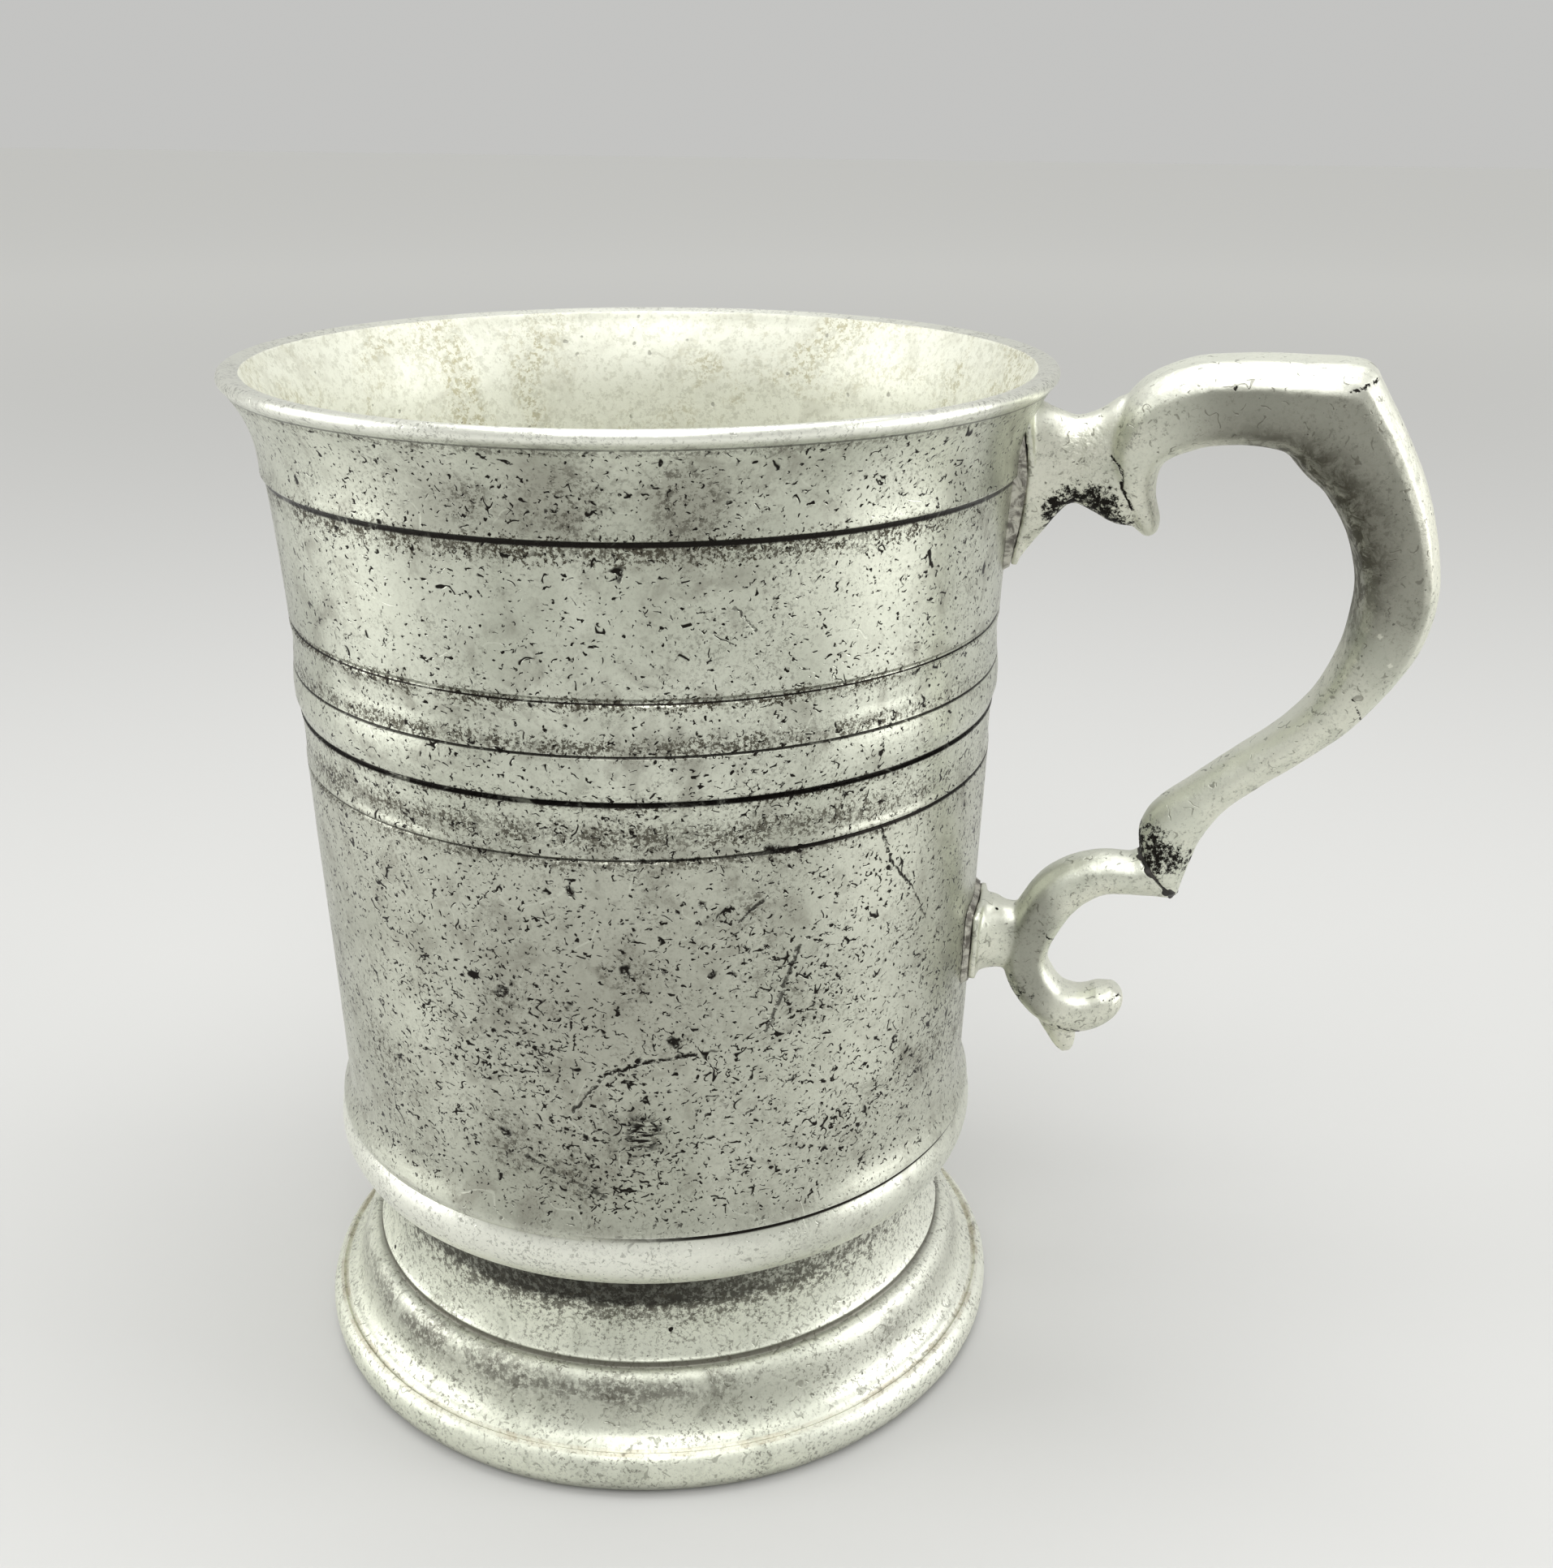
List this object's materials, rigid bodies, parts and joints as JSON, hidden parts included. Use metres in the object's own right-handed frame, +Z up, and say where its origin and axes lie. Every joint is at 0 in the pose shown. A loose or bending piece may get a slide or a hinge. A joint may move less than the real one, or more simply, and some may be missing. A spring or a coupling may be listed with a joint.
{
  "type": "pewter mug",
  "caption": "Aged pewter mug with a flared lip, turned lines round the barrel, a moulded spreading foot and a soldered double scroll handle.",
  "frame": {"origin": "under the middle of the mug's overall box, handle included, in the plane that it stands on", "axes": "+Z up, parallel to the barrel's axis, which is 22.6 mm from the origin on the -X side; +X towards the handle, whose middle plane is XZ"},
  "size_m": [0.1453, 0.1002, 0.135],
  "materials": {
    "drum_metal": "aged pewter, half polished, pitted",
    "foot_metal": "aged pewter, paler and more matt",
    "handle_metal": "aged cast pewter, worn smooth",
    "solder": "dull soft solder",
    "solder_black": "black corroded solder"
  },
  "bodies": {
    "root": {"drum": "drum_metal", "floor_disc": "drum_metal", "foot": "foot_metal", "foot_solder_bead": "solder", "main_scroll": "handle_metal", "lower_scroll": "handle_metal", "upper_solder_bed": "solder", "lower_solder_bed": "solder", "joint_solder": "solder_black"}
  },
  "joints": []
}
